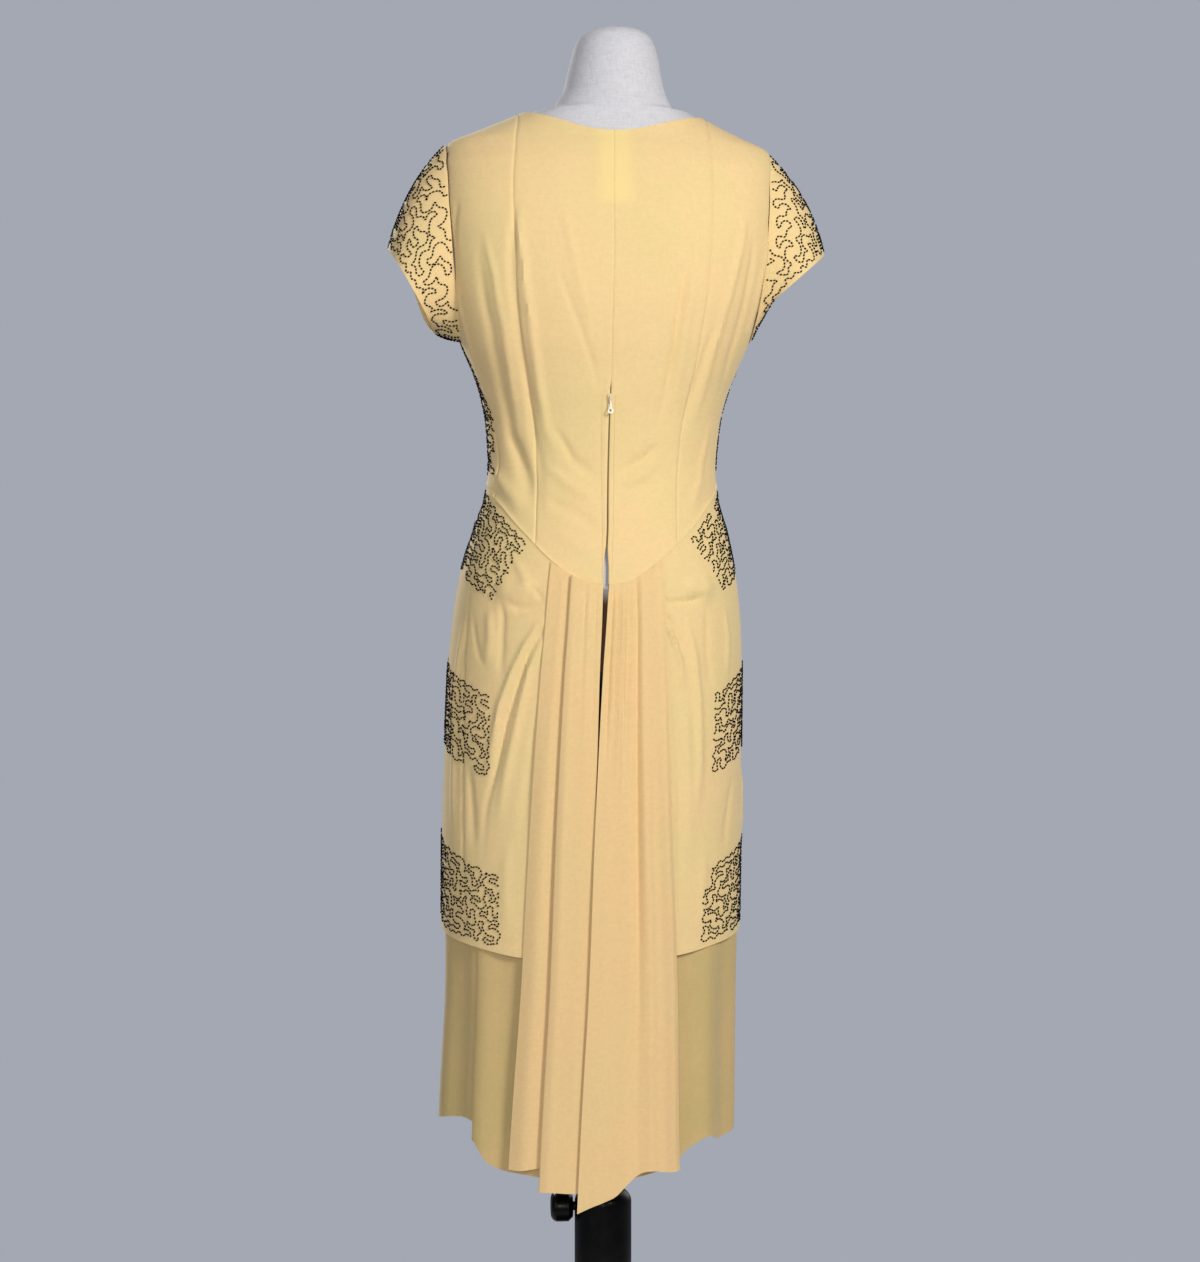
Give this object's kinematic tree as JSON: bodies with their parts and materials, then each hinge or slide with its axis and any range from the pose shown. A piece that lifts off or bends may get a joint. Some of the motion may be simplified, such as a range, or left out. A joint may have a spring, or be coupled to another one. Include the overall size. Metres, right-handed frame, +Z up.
{
  "type": "beaded cocktail dress on dress form",
  "caption": "Cap-sleeved beaded crepe cocktail dress with a pleated back panel, worn by a limbless dress form on a round stand",
  "frame": {"origin": "middle of the underside of the stand's round base, where it rests on the floor", "axes": "+Z up along the pole, the dress's front faces -Y and its zipped back +Y, +X is the wearer's left"},
  "size_m": [0.487, 0.356, 1.6],
  "materials": {
    "crepe": "pale yellow rayon crepe",
    "crepe_drape": "pale yellow rayon crepe, pressed in pleats",
    "crepe_skirt": "pale yellow rayon crepe, in shade",
    "zip_tape": "woven cotton tape",
    "zip_metal": "white enamel over metal",
    "form_cover": "off-white linen stretched on the form",
    "stand_steel": "black gloss enamel",
    "stand_gloss": "black gloss enamel"
  },
  "bodies": {
    "stand": {"form_base": "stand_gloss", "form_hub": "stand_gloss"},
    "form": {"form_body": "form_cover", "form_pole": "stand_steel", "bodice_front": "crepe", "bodice_back_centre_left": "crepe", "bodice_back_centre_right": "crepe", "bodice_back_side_left": "crepe", "bodice_back_side_right": "crepe", "sleeve_left": "crepe", "sleeve_right": "crepe", "tunic_front": "crepe", "tunic_back_left": "crepe", "tunic_back_right": "crepe", "drape_left": "crepe_drape", "drape_right": "crepe_drape", "skirt_front": "crepe_skirt", "skirt_back_left": "crepe_skirt", "skirt_back_right": "crepe_skirt", "zip_tape_left": "zip_tape", "zip_tape_right": "zip_tape", "zip_slider": "zip_metal"},
    "knob": {"form_knob": "stand_gloss"},
    "pull": {"zip_pull": "zip_metal"}
  },
  "joints": [
    {"name": "form_height", "type": "slide", "parent": "stand", "child": "form", "axis": [0, 0, 1], "range_m": [-0.1, 0.11]},
    {"name": "clamp_knob", "type": "hinge", "parent": "stand", "child": "knob", "pos_m": [0, 0, 0.281], "axis": [1, 0, 0], "range_deg": [-180, 180]},
    {"name": "zip_pull_tab", "type": "hinge", "parent": "form", "child": "pull", "pos_m": [-0.00077, 0.09601, 1.18231], "axis": [1, 0, 0], "range_deg": [-4, 145]}
  ]
}
